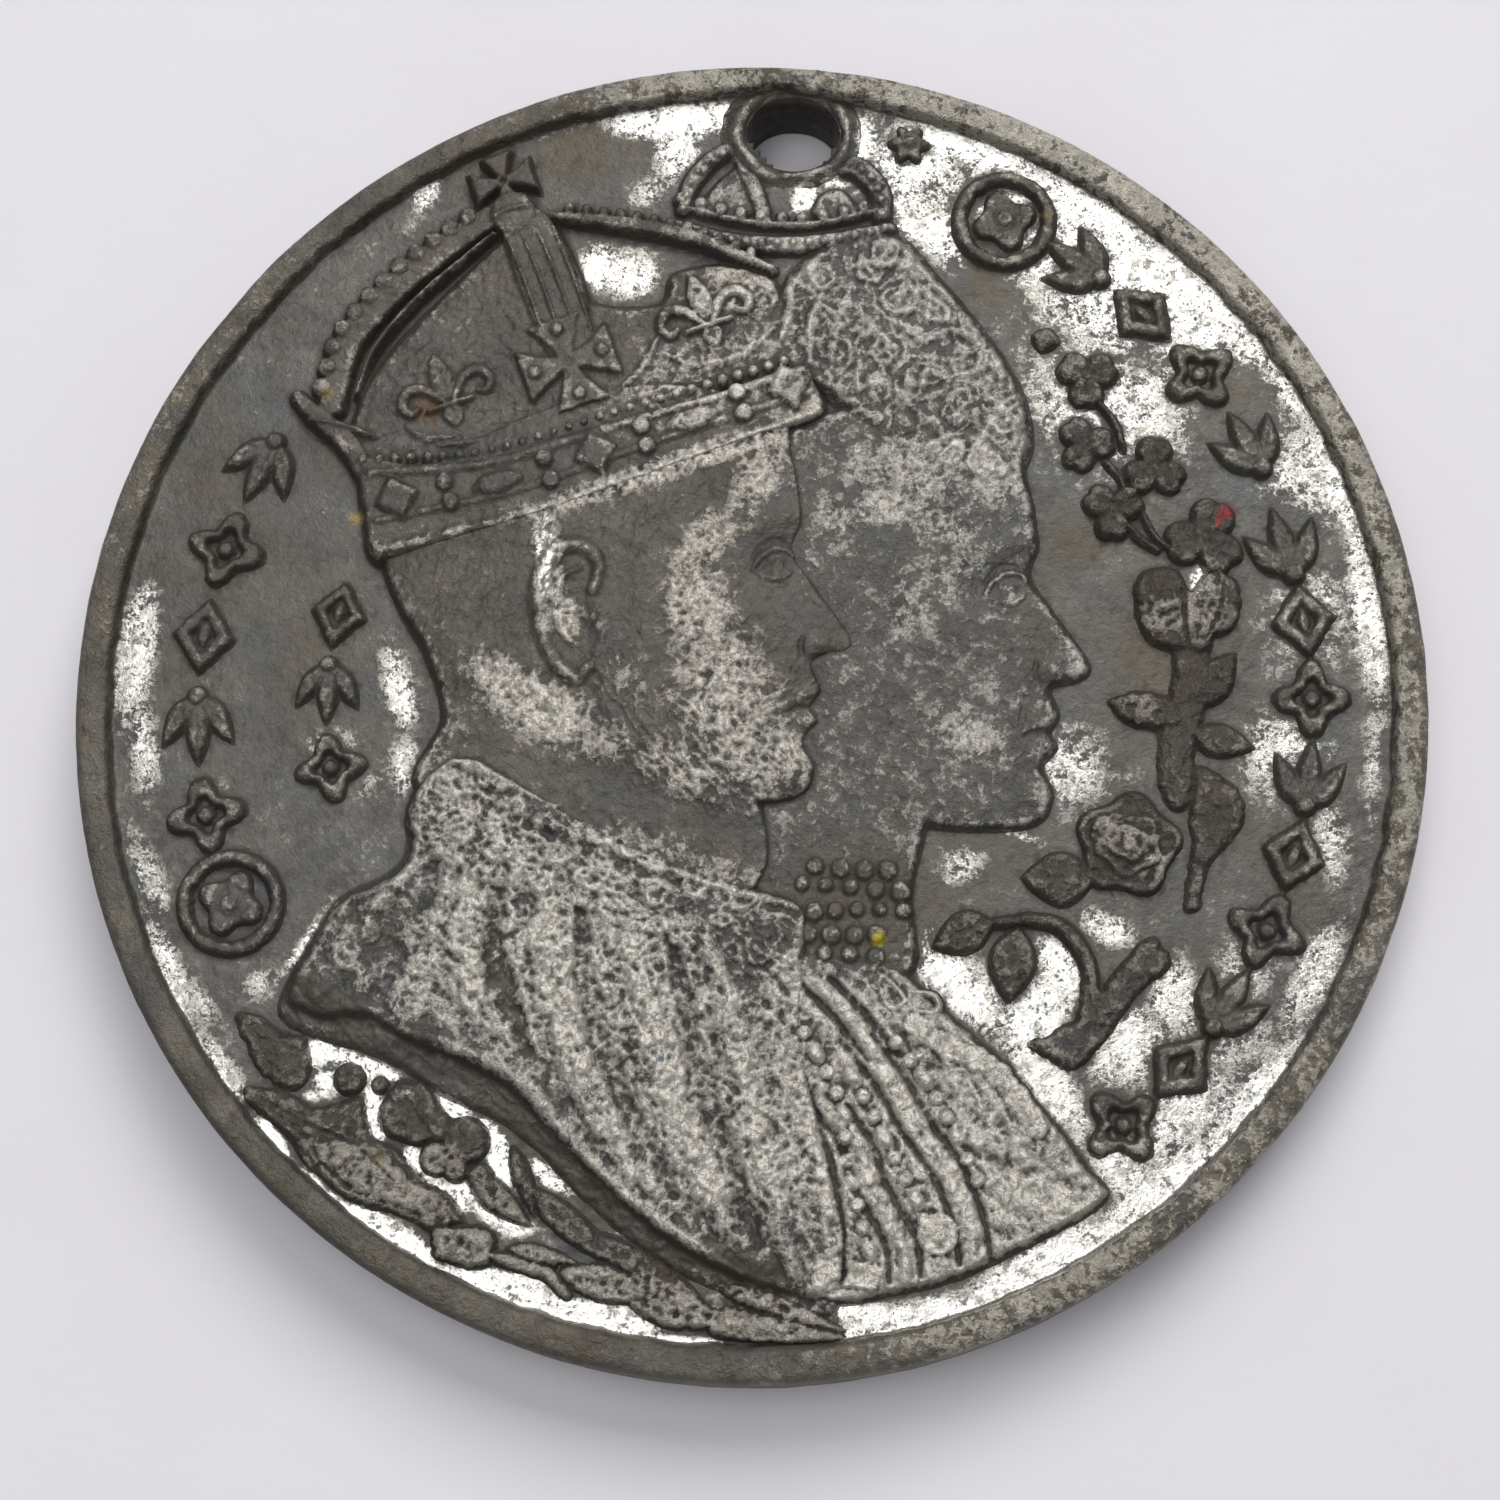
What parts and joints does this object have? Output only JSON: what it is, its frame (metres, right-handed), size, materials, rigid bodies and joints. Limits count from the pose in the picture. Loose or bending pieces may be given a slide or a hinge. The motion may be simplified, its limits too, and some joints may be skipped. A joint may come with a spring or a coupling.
{
  "type": "coronation medal",
  "caption": "Round struck white-metal medal with a raised rim, two crowned busts in profile relief, leaf sprays, a run of ornaments and a hole to hang it by.",
  "frame": {"origin": "centre of the disc on the plane of the back rim, where the medal rests", "axes": "+Z out of the front, +Y towards the suspension hole, +X to the right as the front is read"},
  "size_m": [0.038, 0.038, 0.0034],
  "materials": {
    "white_metal": "tarnished tin-based white metal, dark grey with bright bare patches in the field"
  },
  "bodies": {
    "root": {"medal": "white_metal"}
  },
  "joints": []
}
